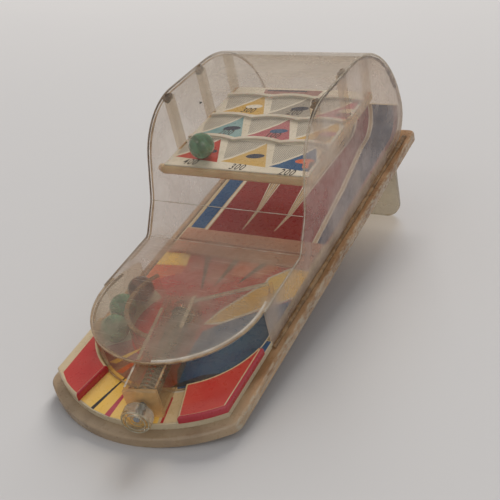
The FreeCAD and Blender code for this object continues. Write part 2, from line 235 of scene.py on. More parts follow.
def clearPlastic(name, look):
    # thin aged acrylic: see-through with a warm tint, milky haze and a mirror skin
    made, tree, out = newMaterial(name)
    coords = deckCoords(tree)
    facing = put(tree, "ShaderNodeLayerWeight", None, {"Blend": 0.5}).outputs["Facing"]
    edge = sums(tree, "POWER", facing, look["edgePower"])
    tint = blended(tree, sums(tree, "MULTIPLY", edge, look["edgeDark"], True),
                   tinted(look["tint"]), tinted(look["edge"]))
    through = put(tree, "ShaderNodeBsdfTransparent", None, {"Color": tint})
    amount = hazeMask(tree, coords, look)
    amount = sums(tree, "ADD", amount, sums(tree, "MULTIPLY", edge, look["edgeHaze"]), True)
    outer = sums(tree, "SUBTRACT", 1.0, put(tree, "ShaderNodeNewGeometry").outputs["Backfacing"])
    amount = sums(tree, "MULTIPLY", amount, outer)
    milk = blended(tree, grain(tree, coords, 0.06, 3), tinted(look["milk"]), tinted(look["dirt"]))
    dull = put(tree, "ShaderNodeBsdfDiffuse", None, {"Color": milk})
    glow = put(tree, "ShaderNodeBsdfTranslucent", None, {"Color": milk})
    cloudy = layered(tree, 0.45, dull, glow)
    body = layered(tree, amount, through, cloudy)
    bump = bumped(tree, coords, 0.15, 0.0004, 0.08, 2)
    rough = patches(tree, coords, 0.2, 4, 0.3, 0.7, look["rough"], look["rough"] + 0.12)
    skin = put(tree, "ShaderNodeBsdfGlossy", None, {"Roughness": rough, "Normal": bump})
    mirror = put(tree, "ShaderNodeFresnel", None, {"IOR": 1.46, "Normal": bump})
    shine = sums(tree, "MULTIPLY", sums(tree, "MULTIPLY", mirror.outputs[0], look["mirror"]), outer)
    whole = layered(tree, shine, body, skin)
    showShader(tree, out, letLightThrough(tree, whole, look["shade"]))
    return made


clearKeys = ("tint", "edge", "milk", "dirt", "shade",
             "haze", "rub", "edgePower", "edgeDark", "edgeHaze", "rough", "mirror")
clearRows = {
    "cover": ("fbf9f7", "d0c0a6", "dfd3c2", "b0a08c", "fbf9f6",
              0.3, 0.12, 3.5, 0.6, 0.45, 0.08, 0.6),
    "panel": ("fbf6f1", "d2c5b2", "e0d4cc", "bcada2", "fbf9f6",
              0.5, 0.1, 4.0, 0.5, 0.15, 0.1, 0.6),
    "farPanel": ("fdfbf9", "e9e2d8", "efe9e4", "c4b8ae", "fdfbf9",
                 0.34, 0.1, 4.0, 0.4, 0.1, 0.1, 0.4),
    "wall": ("fbf5ec", "b3905f", "d9cdb9", "b39a72", "faf6ee",
             0.05, 0.05, 3.0, 0.8, 0.2, 0.06, 0.6),
    "housing": ("f8f1e6", "a3855a", "e3cdac", "b3946a", "f8f2e8",
                0.2, 0.12, 2.5, 0.85, 0.35, 0.07, 1.0),
    "plate": ("f7e3c8", "b58a58", "fbd8a4", "b8976a", "f4ead8",
              0.56, 0.15, 2.5, 0.85, 0.4, 0.1, 1.0),
    "post": ("f9f5ee", "b09a78", "d6cbb6", "a08b6c", "f4ecde",
             0.1, 0.12, 2.5, 0.9, 0.3, 0.1, 0.9),
    "stand": ("dcd6ca", "c2b49c", "b0a99d", "a39478", "eee8dd",
              0.42, 0.15, 2.5, 0.8, 0.3, 0.12, 0.9),
}
clearLooks = {name: dict(zip(clearKeys, row)) for name, row in clearRows.items()}
clearLooks["cover"]["bands"] = [   # deck Y, share of the haze there
    (-45, 1.15), (0, 1.55), (30, 1.7), (42, 1.1), (46, 0.25),
    (58, 0.15), (66, 0.3), (90, 0.85), (130, 1.1), (200, 1.0)]


def agedTray(name, look):
    # yellowed tray: milky cream, stained in patches, with a painted white highlight in specks along its outer
    # edge
    made, tree, out = newMaterial(name)
    coords = deckCoords(tree)
    parts = put(tree, "ShaderNodeSeparateXYZ", None, {0: coords})
    across = sums(tree, "ABSOLUTE", parts.outputs[0], 0.0)
    stains = ramped(tree, grain(tree, coords, 0.07, 6, (1.0, 0.35, 1.0)), 0.42, 0.68)
    base = blended(tree, stains, tinted(look["cream"]), tinted(look["stain"]))
    mintShare = ramped(tree, parts.outputs[1], -20, -55, 0.0, 0.75)
    base = blended(tree, mintShare, base, tinted(look["mint"]))
    inner = ramped(tree, across, 49.6, 47.0)
    behindDrum = ramped(tree, parts.outputs[1], -25, -5)
    orange = sums(tree, "MULTIPLY", sums(tree, "MULTIPLY", inner, behindDrum), look["orangeShare"])
    base = blended(tree, orange, base, tinted(look["orange"]))
    # painted highlight: a whitish line along the rim's outer edge, broken into specks by noise
    rimHighlightLine = ramped(tree, across, 50.2, 51.4, 0.0, 0.75)
    rimHighlight = ramped(tree, grain(tree, coords, 0.8, 5, (1, 0.3, 1)), 0.35, 0.65)
    base = blended(tree, sums(tree, "MULTIPLY", rimHighlightLine, rimHighlight), base, tinted(look["rimHighlight"]))
    bump = bumped(tree, coords, 0.3, 0.0004, 0.5, 5)
    rough = patches(tree, coords, 0.3, 4, 0.3, 0.7, 0.22, 0.5)
    skin = put(tree, "ShaderNodeBsdfPrincipled", None, {
        "Base Color": base, "Roughness": rough, "Normal": bump,
        "Coat Weight": 0.4, "Coat Roughness": 0.1})
    through = put(tree, "ShaderNodeBsdfTransparent", None, {"Color": blended(
        tree, stains, tinted(look["clear"]), tinted(look["cream"]))})
    solid = patches(tree, coords, 0.05, 4, 0.3, 0.7, look["solid"] - 0.1, look["solid"] + 0.1)
    whole = layered(tree, solid, through, skin)
    showShader(tree, out, whole)
    return made


def gluePlastic(name, colour, dark, solid, gloss=0.25):
    # set cement or the edge of a sheet: lumpy, amber to brown, part see-through; the white and shine finishes
    # made with it are painted highlights, the pale one is both cement and painted highlight
    made, tree, out = newMaterial(name)
    coords = deckCoords(tree)
    lumps = patches(tree, coords, 0.22, 5, 0.35, 0.65)
    base = blended(tree, lumps, tinted(colour), tinted(dark))
    bump = bumped(tree, coords, 0.4, 0.0003, 0.9, 3)
    skin = put(tree, "ShaderNodeBsdfPrincipled", None, {
        "Base Color": base, "Roughness": gloss, "Normal": bump,
        "Coat Weight": 0.5, "Coat Roughness": 0.08})
    through = put(tree, "ShaderNodeBsdfTransparent", None, {"Color": blended(
        tree, 0.5, base, (1.0, 1.0, 1.0))})
    share = patches(tree, coords, 0.12, 4, 0.3, 0.7, solid - 0.15, solid + 0.15)
    whole = layered(tree, share, through, skin)
    showShader(tree, out, whole)
    return made


def springSteel(name):
    made, tree, out = newMaterial(name)
    coords = deckCoords(tree)
    rust = patches(tree, coords, 0.5, 5, 0.58, 0.75, 0.0, 0.6)
    base = blended(tree, rust, tinted("9aa0a6"), tinted("3d332c"))
    rough = patches(tree, coords, 0.9, 3, 0.3, 0.7, 0.22, 0.45)
    shader = put(tree, "ShaderNodeBsdfPrincipled", None, {
        "Base Color": base, "Roughness": rough, "Metallic": 0.9})
    showShader(tree, out, shader)
    return made


def glassMarble(name, milk, swirl, dark):
    # a pressed glass marble: cloudy body with a darker swirl under a polished skin
    made, tree, out = newMaterial(name)
    coords = deckCoords(tree)
    wave = put(tree, "ShaderNodeTexWave", {"wave_type": "BANDS", "bands_direction": "DIAGONAL"}, {
        "Vector": coords, "Scale": 0.06, "Distortion": 7.0, "Detail": 3.0, "Detail Scale": 0.8})
    bands = ramped(tree, wave.outputs["Fac"], 0.25, 0.8)
    base = blended(tree, bands, tinted(milk), tinted(swirl))
    base = blended(tree, patches(tree, coords, 0.25, 4, 0.5, 0.75, 0.0, 0.6), base, tinted(dark))
    rough = patches(tree, coords, 1.2, 3, 0.4, 0.7, 0.07, 0.22)
    shader = put(tree, "ShaderNodeBsdfPrincipled", None, {
        "Base Color": base, "Roughness": rough, "Subsurface Weight": 0.35, "Subsurface Scale": 0.004,
        "Coat Weight": 0.8, "Coat Roughness": 0.04})
    showShader(tree, out, shader)
    return made


def clearKnob(name):
    # solid moulded acrylic: bends light; its pale rings are separate beads, painted highlights
    made, tree, out = newMaterial(name)
    coords = deckCoords(tree)
    base = blended(tree, grain(tree, coords, 0.2, 4), tinted("fbf8f2"), tinted("e7ddcb"))
    rough = patches(tree, coords, 0.6, 4, 0.35, 0.7, 0.03, 0.14)
    shader = put(tree, "ShaderNodeBsdfPrincipled", None, {
        "Base Color": base, "Roughness": rough, "Transmission Weight": 1.0, "IOR": 1.35})
    veil = put(tree, "ShaderNodeBsdfTransparent", None, {"Color": (*tinted("f4efe6"), 1)})
    soft = layered(tree, 0.4, shader, veil)
    showShader(tree, out, letLightThrough(tree, soft, "f4efe6"))
    return made


def dotScreen(name, paper, ink):
    # halftone tint: a fine grid of grey dots on white
    made, tree, out = newMaterial(name)
    coords = deckCoords(tree)
    turned = put(tree, "ShaderNodeVectorRotate", {"rotation_type": "Z_AXIS"}, {
        "Vector": coords, "Angle": math.radians(45)}).outputs[0]
    flat = put(tree, "ShaderNodeMapping", None, {"Vector": turned, "Scale": (1, 1, 0)}).outputs[0]
    dots = put(tree, "ShaderNodeTexVoronoi", {"feature": "F1", "voronoi_dimensions": "2D"}, {
        "Vector": flat, "Scale": 1.15, "Randomness": 0.0}).outputs["Distance"]
    share = ramped(tree, dots, 0.42, 0.34)
    base = blended(tree, share, tinted(paper), tinted(ink))
    base = blended(tree, patches(tree, coords, 0.06, 3, 0.4, 0.7, 0, 0.35), base, tinted("cfc6b4"))
    shader = put(tree, "ShaderNodeBsdfPrincipled", None, {"Base Color": base, "Roughness": 0.4})
    showShader(tree, out, shader)
    return made


def creamPlastic(name, colour, dirt):
    made, tree, out = newMaterial(name)
    coords = deckCoords(tree)
    grime = ramped(tree, grain(tree, coords, 0.09, 6, (0.5, 1, 1)), 0.45, 0.75, 0.0, 0.7)
    base = blended(tree, grime, tinted(colour), tinted(dirt))
    bump = bumped(tree, coords, 0.2, 0.0003, 0.5, 4)
    rough = patches(tree, coords, 0.4, 3, 0.3, 0.7, 0.3, 0.5)
    shader = put(tree, "ShaderNodeBsdfPrincipled", None, {
        "Base Color": base, "Roughness": rough, "Normal": bump,
        "Subsurface Weight": 0.15, "Subsurface Scale": 0.002})
    showShader(tree, out, shader)
    return made


inkChips = {   # ink name: fresh colour, faded colour
    "red": ("b83028", "c25646"), "deepRed": ("8a1917", "94302a"), "orange": ("cf5a35", "d98a5e"),
    "yellow": ("eec05a", "e4ca92"), "softYellow": ("cda550", "c8b084"),
    "blue": ("194a78", "3c6c92"), "navy": ("1d2740", "3b4458"),
    "white": ("e2dac9", "c9bda5"), "tan": ("cdb793", "b59a72"), "brown": ("5b4232", "8a7058"),
    "black": ("2c2624", "5b514b"), "magenta": ("b23a4e", "c36a70"), "teal": ("6f9a9e", "a2bab7"),
    "grey": ("9c958a", "b9b1a3"), "deepBlue": ("0b2b54", "204064"),
    "dusk": ("9a6a66", "a98780"), "band": ("bd8c72", "a47961"),
    "pink": ("ad5560", "b88080"), "floor": ("bdb8a4", "a39d88"), "padWall": ("a81f2b", "b8404a"),
}
inks = {name: printedPlastic("ink_" + name, *chips) for name, chips in inkChips.items()}
inks["dots"] = dotScreen("ink_dots", "d2cbbd", "77736c")
clears = {name: clearPlastic("clear_" + name, look) for name, look in clearLooks.items()}
trayLook = {"cream": "d3ab82", "stain": "96704a", "mint": "bba78b", "orange": "b0875c", "orangeShare": 0.6,
            "rimHighlight": "cfc6b0", "clear": "f1e8d6", "solid": 0.66}
finishes = {
    "tray": agedTray("aged_tray", trayLook),
    "brownGlue": gluePlastic("brown_glue", "8a6a45", "4f3a26", 0.75),
    "creamGlue": gluePlastic("cream_glue", "d9bf97", "b58f63", 0.6),
    # pale: cement on the guide wall and painted highlight on the housing and knob; white and shine: painted
    # highlights
    "paleGlueAndHighlight": gluePlastic("pale_glue_and_highlight", "d3d2c0", "b5b09a", 0.5),
    "whiteHighlight": gluePlastic("white_highlight", "e9e4d8", "cdbfa6", 0.55, 0.15),
    "shineEdge": gluePlastic("shine_edge", "fbf9f3", "e6dece", 0.75, 0.1),
    "amberGlue": gluePlastic("amber_glue", "b09068", "86694a", 0.6),
    "steel": springSteel("spring_steel"),
    "blackSteel": gluePlastic("black_hook", "2a2725", "171514", 0.95, 0.35),
    "greenMarble": glassMarble("marble_green", "5f8a6a", "4a6f52", "33503f"),
    "brownMarble": glassMarble("marble_brown", "6d4238", "4a2a25", "35201d"),
    "knob": clearKnob("clear_knob"),
    "cream": creamPlastic("shelf_cream", "cbb08a", "a8825a"),
    "scoreWhite": creamPlastic("score_white", "d3ccbd", "b6ac98"),
    "deckWhite": printedPlastic("deck_white", "cbbda0", "b3a284"),
    "ink": printedPlastic("number_ink", "25211f", "4a4440"),
}
print("finishes made:", len(inks) + len(clears) + len(finishes))

# CAD nodes take their finishes
nodeFinish = {
    "base_tray": finishes["tray"], "rear_stand": clears["stand"], "play_deck": finishes["deckWhite"],
    "cover_sheet": clears["cover"],
    "side_panel_left": clears["farPanel"], "side_panel_right": clears["panel"],
    "drum_wall": clears["wall"], "left_lane_wall": clears["wall"], "right_guide_wall": clears["wall"],
    "plunger_housing": clears["housing"], "housing_front_plate": clears["plate"],
    "score_shelf": finishes["cream"], "score_sheet": finishes["scoreWhite"],
    "plunger_rod": finishes["steel"], "spring_washer": finishes["steel"], "plunger_spring": finishes["steel"],
    "plunger_knob": finishes["knob"], "striker_head": finishes["knob"],
    "lane_marble_1": finishes["brownMarble"], "lane_marble_2": finishes["greenMarble"],
    "lane_marble_3": finishes["greenMarble"], "shelf_marble": finishes["greenMarble"],
}
for name, item in cadNodes.items():
    spare = clears["wall"] if "post_right" in name else clears["post"]
    finish = nodeFinish.get(name, spare)
    item.data.materials.clear()
    item.data.materials.append(finish)


# mesh helpers: all points in deck millimetres

def makePiece(name, points, faces, materials, picks=None, smooth=30, body="case"):
    mesh = bpy.data.meshes.new(name)
    mesh.from_pydata([deckToRow @ Vector(p) for p in points], [], faces)
    for material in materials:
        mesh.materials.append(material)
    if picks:
        mesh.polygons.foreach_set("material_index", picks)
    piece = bpy.data.objects.new(name, mesh)
    bpy.context.collection.objects.link(piece)
    mesh.validate()
    if smooth:
        mesh.shade_smooth()
        mesh.set_sharp_from_angle(angle=math.radians(smooth))
    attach(piece, body)
    return piece


def counterClockwise(loop):
    area = sum(a[0] * b[1] - a[1] * b[0] for a, b in zip(loop, loop[1:] + loop[:1]))
    return loop if area > 0 else loop[::-1]


def topLoops(node, z, reach=0.03):
    # outlines of a CAD node's flat faces at height z, as counter-clockwise loops
    mesh = cadNodes[node].data
    points = deckPoints(node)
    count = {}
    for face in mesh.polygons:
        ring = [points[i] for i in face.vertices]
        if max(abs(p.z - z) for p in ring) > reach:
            continue
        keys = [(round(p.x, 2), round(p.y, 2)) for p in ring]
        for a, b in zip(keys, keys[1:] + keys[:1]):
            if (b, a) in count:
                del count[(b, a)]
            else:
                count[(a, b)] = True
    following = {a: b for a, b in count}
    loops = []
    while following:
        start, point = following.popitem()
        loop = [start]
        while point != start and point in following:
            loop.append(point)
            point = following.pop(point)
        loops.append(counterClockwise(loop))
    return loops


def grown(loop, by):
    # moves a counter-clockwise loop outwards; by is a distance or a function of the point
    made = []
    for i, point in enumerate(loop):
        before, after = Vector(loop[i - 1]), Vector(loop[(i + 1) % len(loop)])
        here = Vector(point)
        ahead, behind = (after - here).normalized(), (here - before).normalized()
        side = Vector((ahead.y + behind.y, -ahead.x - behind.x))
        if side.length < 1e-6:
            side = Vector((ahead.y, -ahead.x))
        side.normalize()
        lean = max(0.5, side.dot(Vector((ahead.y, -ahead.x))))
        distance = by(here) if callable(by) else by
        made.append(here + side * (distance / lean))
    return made


def skin(name, loop, rings, materials, slotName):
    # stacked copies of a loop, each (growth, height, material), closed by the last one
    points, faces, picks = [], [], []
    size = len(loop)
    for growth, z, _ in rings:
        points += [(p.x, p.y, z) for p in grown(loop, growth)]
    for r in range(len(rings) - 1):
        for i in range(size):
            j = (i + 1) % size
            faces.append((r * size + i, r * size + j, (r + 1) * size + j, (r + 1) * size + i))
            picks.append(rings[r + 1][2])
    faces.append(tuple((len(rings) - 1) * size + i for i in range(size)))
    picks.append(rings[-1][2])
    return makePiece(name, points, faces, materials, picks)


def tube(name, path, radius, material, sides=8, body="case"):
    # a round bead along deck points; radius is a number or a function of the point's number
    points, faces = [], []
    path = [Vector(p) for p in path]
    last = len(path) - 1
    normal = None
    for i, here in enumerate(path):
        ahead = (path[min(i + 1, last)] - path[max(i - 1, 0)]).normalized()
        if normal is None:
            normal = ahead.orthogonal().normalized()
        normal = (normal - ahead * normal.dot(ahead)).normalized()
        other = ahead.cross(normal)
        size = radius(i) if callable(radius) else radius
        for k in range(sides):
            turn = 2 * math.pi * k / sides
            points.append(here + (normal * math.cos(turn) + other * math.sin(turn)) * size)
    for i in range(last):
        for k in range(sides):
            n = (k + 1) % sides
            faces.append((i * sides + k, i * sides + n, (i + 1) * sides + n, (i + 1) * sides + k))
    faces.append(tuple(range(sides))[::-1])
    faces.append(tuple(last * sides + k for k in range(sides)))
    return makePiece(name, points, faces, [material], smooth=60, body=body)


# printed deck

deckPrint = {
    "lift": 0.08,            # ink film above the sheet
    "drumFloor": 42.9,
    "rampRadius": 15.0,
    "rampStep": 1.2,
    "sheet": 1.0,
}
deckHigh = deckBox("play_deck")[1]
heelY = deckHigh.y - deckPrint["sheet"] - deckPrint["rampRadius"]
rampTop = deckHigh.z
rampTurn = math.acos(1 - rampTop / deckPrint["rampRadius"])
rampEnd = heelY + deckPrint["rampRadius"] * rampTurn - 0.3


def onDeck(x, along):
    # a point of the unrolled deck, laid over the floor and up the ramp
    lift = deckPrint["lift"]
    if along <= heelY:
        return (x, along, lift)
    turn = (along - heelY) / deckPrint["rampRadius"]
    radius = deckPrint["rampRadius"] - lift
    return (x, heelY + radius * math.sin(turn), deckPrint["rampRadius"] - radius * math.cos(turn))


def arcRun(radius, start, end, step=4):
    count = max(2, int(abs(end - start) / step))
    return [tuple(onCircle(radius, start + (end - start) * i / count)[:2]) for i in range(count + 1)]


def spindle(core, widths):
    # a strip along core, as wide as widths says at each point
    left = [(x - w / 2, y) for (x, y), w in zip(core, widths)]
    right = [(x + w / 2, y) for (x, y), w in zip(core, widths)]
    return right + left[::-1]


floorOutline = [(-46.2, -46.8)] + [
    (x, -64.8 + (x / 46.2) ** 2 * 18.0) for x in (-36, -26, -16, -6, 6, 16, 26, 36)] + [
    (46.2, -46.8), (46.2, -1.3), (43.6, -1.3), (43.6, rampEnd),
    (-43.6, rampEnd), (-43.6, -1.3), (-46.2, -1.3)]

wedgeCores = {
    "left": [(-9.3, 79), (-8.6, 100), (-10.6, 125), (-10.2, 165), (-10.5, rampEnd)],
    "right": [(9.7, 81), (11.8, 96), (11.2, 125), (11.8, 165), (12, rampEnd)],
}
wedgeWidths = [0.5, 2.4, 6.8, 9.5, 11.5]
rightLine = [(35.4, 75), (31.4, 126), (26.2, 170), (24.8, rampEnd)]
blueLine = [(37.6, 75), (33.6, 126), (28.4, 170), (27.0, rampEnd)]
rayStripes = {
    "stripeLeft": ([(-7.2, 26.4), (-17, 52.4)], [0.7, 3.8]),
    "stripeMiddle": ([(-1.4, 30), (0.3, 52.4)], [0.7, 3.8]),
    "stripeRight": ([(10.7, 36), (16.8, 52.4)], [0.9, 3.6]),
}
drumRing = deckPrint["drumFloor"]
deckRegions = [
    ("yellow", [(-30, -67), (33, -67), (25, -36), (-25, -36)]),
    ("black", spindle([(-17.4, -66), (-13.2, -46.9), (-10.5, -36)], [2.3, 1.1, 0.6])),
    ("magenta", spindle([(-7.0, -66.4), (-6.4, -51.5), (-5.6, -40)], [3.4, 1.8, 0.8])),
    ("tan", [(8.6, -67), (33, -67), (27, -36), (4, -36)]),
    ("yellow", [(8.6, -67), (20, -67), (17.5, -57.5), (8.6, -57.5)]),
    ("padWall", spindle([(21.6, -67), (17.4, -46)], [1.5, 0.9])),
    ("red", arcRun(drumRing, 0, 356)),
    ("red", [(-43.6, 0), (43.6, 0), (43.6, 52.4), (-43.6, 52.4)]),
    ("floor", arcRun(drumRing, 148, 216) + arcRun(29.2, 216, 148)),
    ("dusk", arcRun(drumRing, 216, 262) + arcRun(29.2, 262, 216)),
    ("yellow", spindle([(-24, -34), (-14, -20)], [4.5, 0.8])),
    ("orange", spindle([(-17, -39), (-9, -22)], [4.0, 0.8])),
    ("orange", [(-43.6, 24), (-25, 36), (-25.3, 42.6), (-43.6, 40)]),
    ("yellow", [(-43.6, 40), (-25.3, 42.6), (-28.3, 52.4), (-43.6, 51.6)]),
    ("orange", [(2.6, 40), (10, 40), (14.6, 52.4), (2.8, 52.4)]),
    ("orange", [(16, 43), (19, 41.5), (27, 52.4), (19.6, 52.4)]),
    ("white", [(7.2, 1.6), (15.9, 3.8), (30.4, 17.6), (43.6, 29.4), (43.6, 52.4), (32.4, 52.4),
               (23.9, 42.4), (24.1, 39.2), (10.4, 12.9)]),
    ("yellow", [(8.4, 3.0), (15.3, 5.4), (29.8, 19.2), (43.6, 31.2), (43.6, 51.6), (33.9, 51.9),
                (25.3, 42.4), (25.3, 38.6), (11.6, 12.3)]),
    ("blue", [(9.4, -3), (15.3, 3.4), (30.2, 17.0), (43.6, 28.6), (43.6, -1), (46.2, -1), (46.2, -12)]
     + arcRun(45.9, -16, -68) + [(17, -41), (10.5, -30)]),
    ("navy", arcRun(drumRing, -68, -36) + [(24, -30), (15, -38), (13, -41)]),
    ("white", arcRun(46.6, -70, -14) + arcRun(45.4, -14, -70)),
    ("white", arcRun(43.9, -62, 26) + arcRun(43.3, 26, -62)),
    ("deepRed", [(-29.5, 74), (35.4, 74), (31.4, 126), (26.2, 170), (24.8, rampEnd), (-29.4, rampEnd)]),
    ("tan", spindle([(-31.0, 75), (-30.6, 125), (-30.2, rampEnd)], [2.6, 2.6, 2.6])),
    ("white", spindle([(-31.0, 75), (-30.6, 125), (-30.2, rampEnd)], [1.2, 1.2, 1.2])),
    ("blue", [(-41.3, 76), (-32.5, 76), (-31.9, 125), (-31.6, rampEnd), (-41.3, rampEnd)]),
    ("tan", spindle([(-42.1, 75), (-42.1, rampEnd)], [1.0, 1.0])),
    ("tan", [(35.4, 75), (37.6, 75), (33.6, 126), (28.4, 170), (27.0, rampEnd), (24.8, rampEnd),
             (26.2, 170), (31.4, 126)]),
    ("white", spindle(rightLine, [0.8, 0.8, 0.8, 0.8])),
    ("white", spindle(blueLine, [0.7, 0.7, 0.7, 0.7])),
    ("deepBlue", [(38.0, 75), (43.6, 75), (43.6, rampEnd), (27.4, rampEnd), (28.8, 170), (34.0, 126)]),
    ("dusk", [(42.6, 75), (43.6, 75), (43.6, rampEnd), (41.0, rampEnd), (41.4, 170), (42.4, 126)]),
]
deckRegions += [("black", spindle(core, widths)) for core, widths in rayStripes.values()]
for core in wedgeCores.values():
    for inkName, share in (("white", 1.0), ("brown", 0.78), ("tan", 0.62), ("brown", 0.2), ("white", 0.1)):
        deckRegions.append((inkName, spindle(core, [w * share for w in wedgeWidths])))


def printSheet(name, outline, regions, cuts, place, paints):
    # cuts a flat sheet along every region's outline; the last region over a face inks it
    loops = [counterClockwise(outline)] + [counterClockwise(loop) for _, loop in regions]
    points, faces = [], []
    for loop in loops:
        faces.append(list(range(len(points), len(points) + len(loop))))
        points += [Vector(p) for p in loop]
    edges = []
    for a, b in cuts:
        edges.append((len(points), len(points) + 1))
        points += [Vector(a), Vector(b)]
    spots, _, tiles, _, _, owners = delaunay_2d_cdt(points, edges, faces, 1, 1e-5)
    used = sorted({ink for ink, _ in regions})
    kept, picks = [], []
    for tile, owner in zip(tiles, owners):
        inked = [i for i in owner if i > 0]
        if 0 in owner and inked:
            kept.append(tile)
            picks.append(used.index(regions[max(inked) - 1][0]))
    makePiece(name, [place(p.x, p.y) for p in spots], kept, [paints[u] for u in used], picks)


rampCuts = [((-50, heelY + deckPrint["rampStep"] * i), (50, heelY + deckPrint["rampStep"] * i))
            for i in range(int((rampEnd - heelY) / deckPrint["rampStep"]) + 1)]
printSheet("deckArtwork", floorOutline, deckRegions, rampCuts, onDeck, inks)
print("deck printed:", len(deckRegions), "regions")

# raised pads and band, formed in the sheet with rounded edges
padLook = {
    "skin": 0.34,             # formed skin outside the CAD pad
    "roundOver": 1.0,
    "top": 3.5,
    "drumBorder": 46.6,       # pale line beside the drum
    "bevelSteps": 4,
    "foot": 0.05,             # first ring, just above the sheet
    "printInset": 0.15,
    "printLift": 0.03,
    "wedgeSide": -26.5,       # left pad's wall towards the centre wedge
    "wedgeRear": -41,
    "wedgeWall": 29.5,        # right pad's wall towards the wedge
    "drumWall": 46.2,         # walls nearer the drum's middle stay pale
}
padBorder = padLook["drumBorder"]
padFaces = {   # inked area of each pad's top
    "left": arcRun(padBorder, 243, 196) + [(-41.6, -14), (-41.6, -49.0), (-34, -55.6), (-26.0, -60.9)],
    "right": [(29.2, -59.4), (38, -54.6), (45.3, -48.2), (45.3, -12)] + arcRun(padBorder, -14, -60),
}


def padWallInk(side, middle):
    # slot 1 is the inked wall, slot 3 the pale one
    if side == "left":
        return 1 if middle.x > padLook["wedgeSide"] and middle.y < padLook["wedgeRear"] else 3
    return 3 if middle.x < padLook["wedgeWall"] or middle.length < padLook["drumWall"] else 1


def formedPad(name, loop, top, side, faceInk, edgeInk):
    out, curve = padLook["skin"], padLook["roundOver"]
    crown = top + out
    rings = [(out, padLook["foot"], 1), (out, crown - curve, 1)]
    for step in range(1, padLook["bevelSteps"] + 1):
        turn = math.pi / 2 * step / padLook["bevelSteps"]
        rings.append((out - curve * (1 - math.cos(turn)), crown - curve + curve * math.sin(turn), 1))
    made = skin(name, loop, rings, [inks[faceInk], inks[edgeInk], inks["tan"], inks["tan"]], "deck_print")
    if side:
        for face in made.data.polygons:
            middle = rowToDeck @ face.center
            flat = Vector((middle.x, middle.y, 0))
            face.material_index = padWallInk(side, flat) if middle.z < crown - 0.02 else 2
        edge = [tuple(p) for p in grown(loop, out - curve - padLook["printInset"])]
        printSheet(name + "Print", edge, [(faceInk, padFaces[side])], [],
                   lambda x, y: (x, y, crown + padLook["printLift"]), inks)


for loop in topLoops("play_deck", padLook["top"]):
    side = "left" if sum(p[0] for p in loop) < 0 else "right"
    formedPad("pad" + side.title(), loop, padLook["top"], side, "red", "padWall")
for number, loop in enumerate(topLoops("play_deck", 1.0)):
    formedPad("band" + str(number + 1), loop, 1.0, None, "band", "band")
print("pads and band formed")

# printed score sheet on the shelf
scorePrint = {
    "left": -41.0,
    "right": 41.0,
    "front": 70.4,
    "rear": 158.6,
    "lift": 0.06,
    "firstTip": (-40.4, 78.4),
    "columnStep": 29.2,
    "rowStep": 25.2,
    "rowShift": 1.8,
    "cellWidth": 27.6,
    "cellRise": 20.5,
    "lean": -9.5,            # right edges slant to the left towards the rear
    "frontSkew": 1.1,        # the front row steps forward column by column
    "numberSize": 5.2,
    "numberTall": 1.45,
    "numberShift": ((7.5, -6.4), (11.0, 0.4), (11.0, 0.4)),   # from each row's cell tip
}
scoreTop = 45.8
cellInks = [["red", "softYellow", "blue"], ["teal", "pink", "softYellow"],
            ["softYellow", "grey", "pink"]]
cellMarks = [["navy", "navy", "orange"], ["navy", "blue", "pink"], ["white", "navy", "white"]]
cellNumbers = [["400", "300", "200"], ["200", "100", "300"], ["300", "200", "400"]]


def cellTip(row, column):
    x, y = scorePrint["firstTip"]
    return (x + column * scorePrint["columnStep"] + row * scorePrint["rowShift"],
            y + row * scorePrint["rowStep"] - (column * scorePrint["frontSkew"] if row == 0 else 0))


def ovalAround(x, y, long, wide, count=20):
    turned = []
    for i in range(count):
        a = 2 * math.pi * i / count
        turned.append((x + long * math.cos(a), y + wide * math.sin(a) + 0.12 * long * math.cos(a)))
    return turned


def scoreCell(row, column):
    # corners are given as shares of the cell from its tip
    x, y = cellTip(row, column)
    wide, rise, lean = scorePrint["cellWidth"], scorePrint["cellRise"], scorePrint["lean"]
    foot, head = (x + wide, y - 2.2), (x + wide + lean, y + rise)
    curve = [(x + wide * 0.5, y + rise * 0.66), (x + wide * 0.34, y + rise * 0.42),
             (x + wide * 0.16, y + rise * 0.16)]
    dart = [(x, y), foot, head] + curve
    screen = [(x + 0.4, y + 2.4), (x + wide * 0.14, y + rise * 0.24), (x + wide * 0.32, y + rise * 0.5),
              (x + wide * 0.48, y + rise * 0.74), (head[0] - 1.0, y + rise + 0.6),
              (x + lean + 3.2, y + rise + 1.2)]
    mark = ovalAround(x + wide * 0.62, y + rise * 0.36, 5.2, 2.3)
    shapes = [("dots", screen), (cellInks[row][column], dart), (cellMarks[row][column], mark)]
    if (row, column) == (0, 2):
        shapes += [("orange", [(x + wide * 0.66, y + 1.0), (x + wide * 0.78, y + 1.0),
                               (x + wide * 0.7, y + 10), (x + wide * 0.58, y + 8)]),
                   ("black", [(x + wide * 0.8, y - 1.0), (x + wide * 0.93, y - 1.4), (x + wide * 0.84, y + 8),
                              (x + wide * 0.74, y + 7)])]
    return shapes


scoreOutline = [(scorePrint["left"], scorePrint["front"]), (scorePrint["right"], scorePrint["front"]),
                (scorePrint["right"], scorePrint["rear"]), (scorePrint["left"], scorePrint["rear"])]
scoreRegions = [("white", scoreOutline)]
for row in range(3):
    for column in range(3):
        scoreRegions += scoreCell(row, column)
scoreRegions += [
    # dark smoky patch across the sheet's rear: a painted dark reflection
    ("dusk", [(-21, 151.5), (14, 151.5), (15, 157.6), (-22, 157.0)]),
    ("navy", [(-20, 155.0), (6, 155.6), (5, 157.0), (-20, 156.4)]),
]
printSheet("scoreArtwork", scoreOutline, scoreRegions, [],
           lambda x, y: (x, y, scoreTop + scorePrint["lift"]), inks)


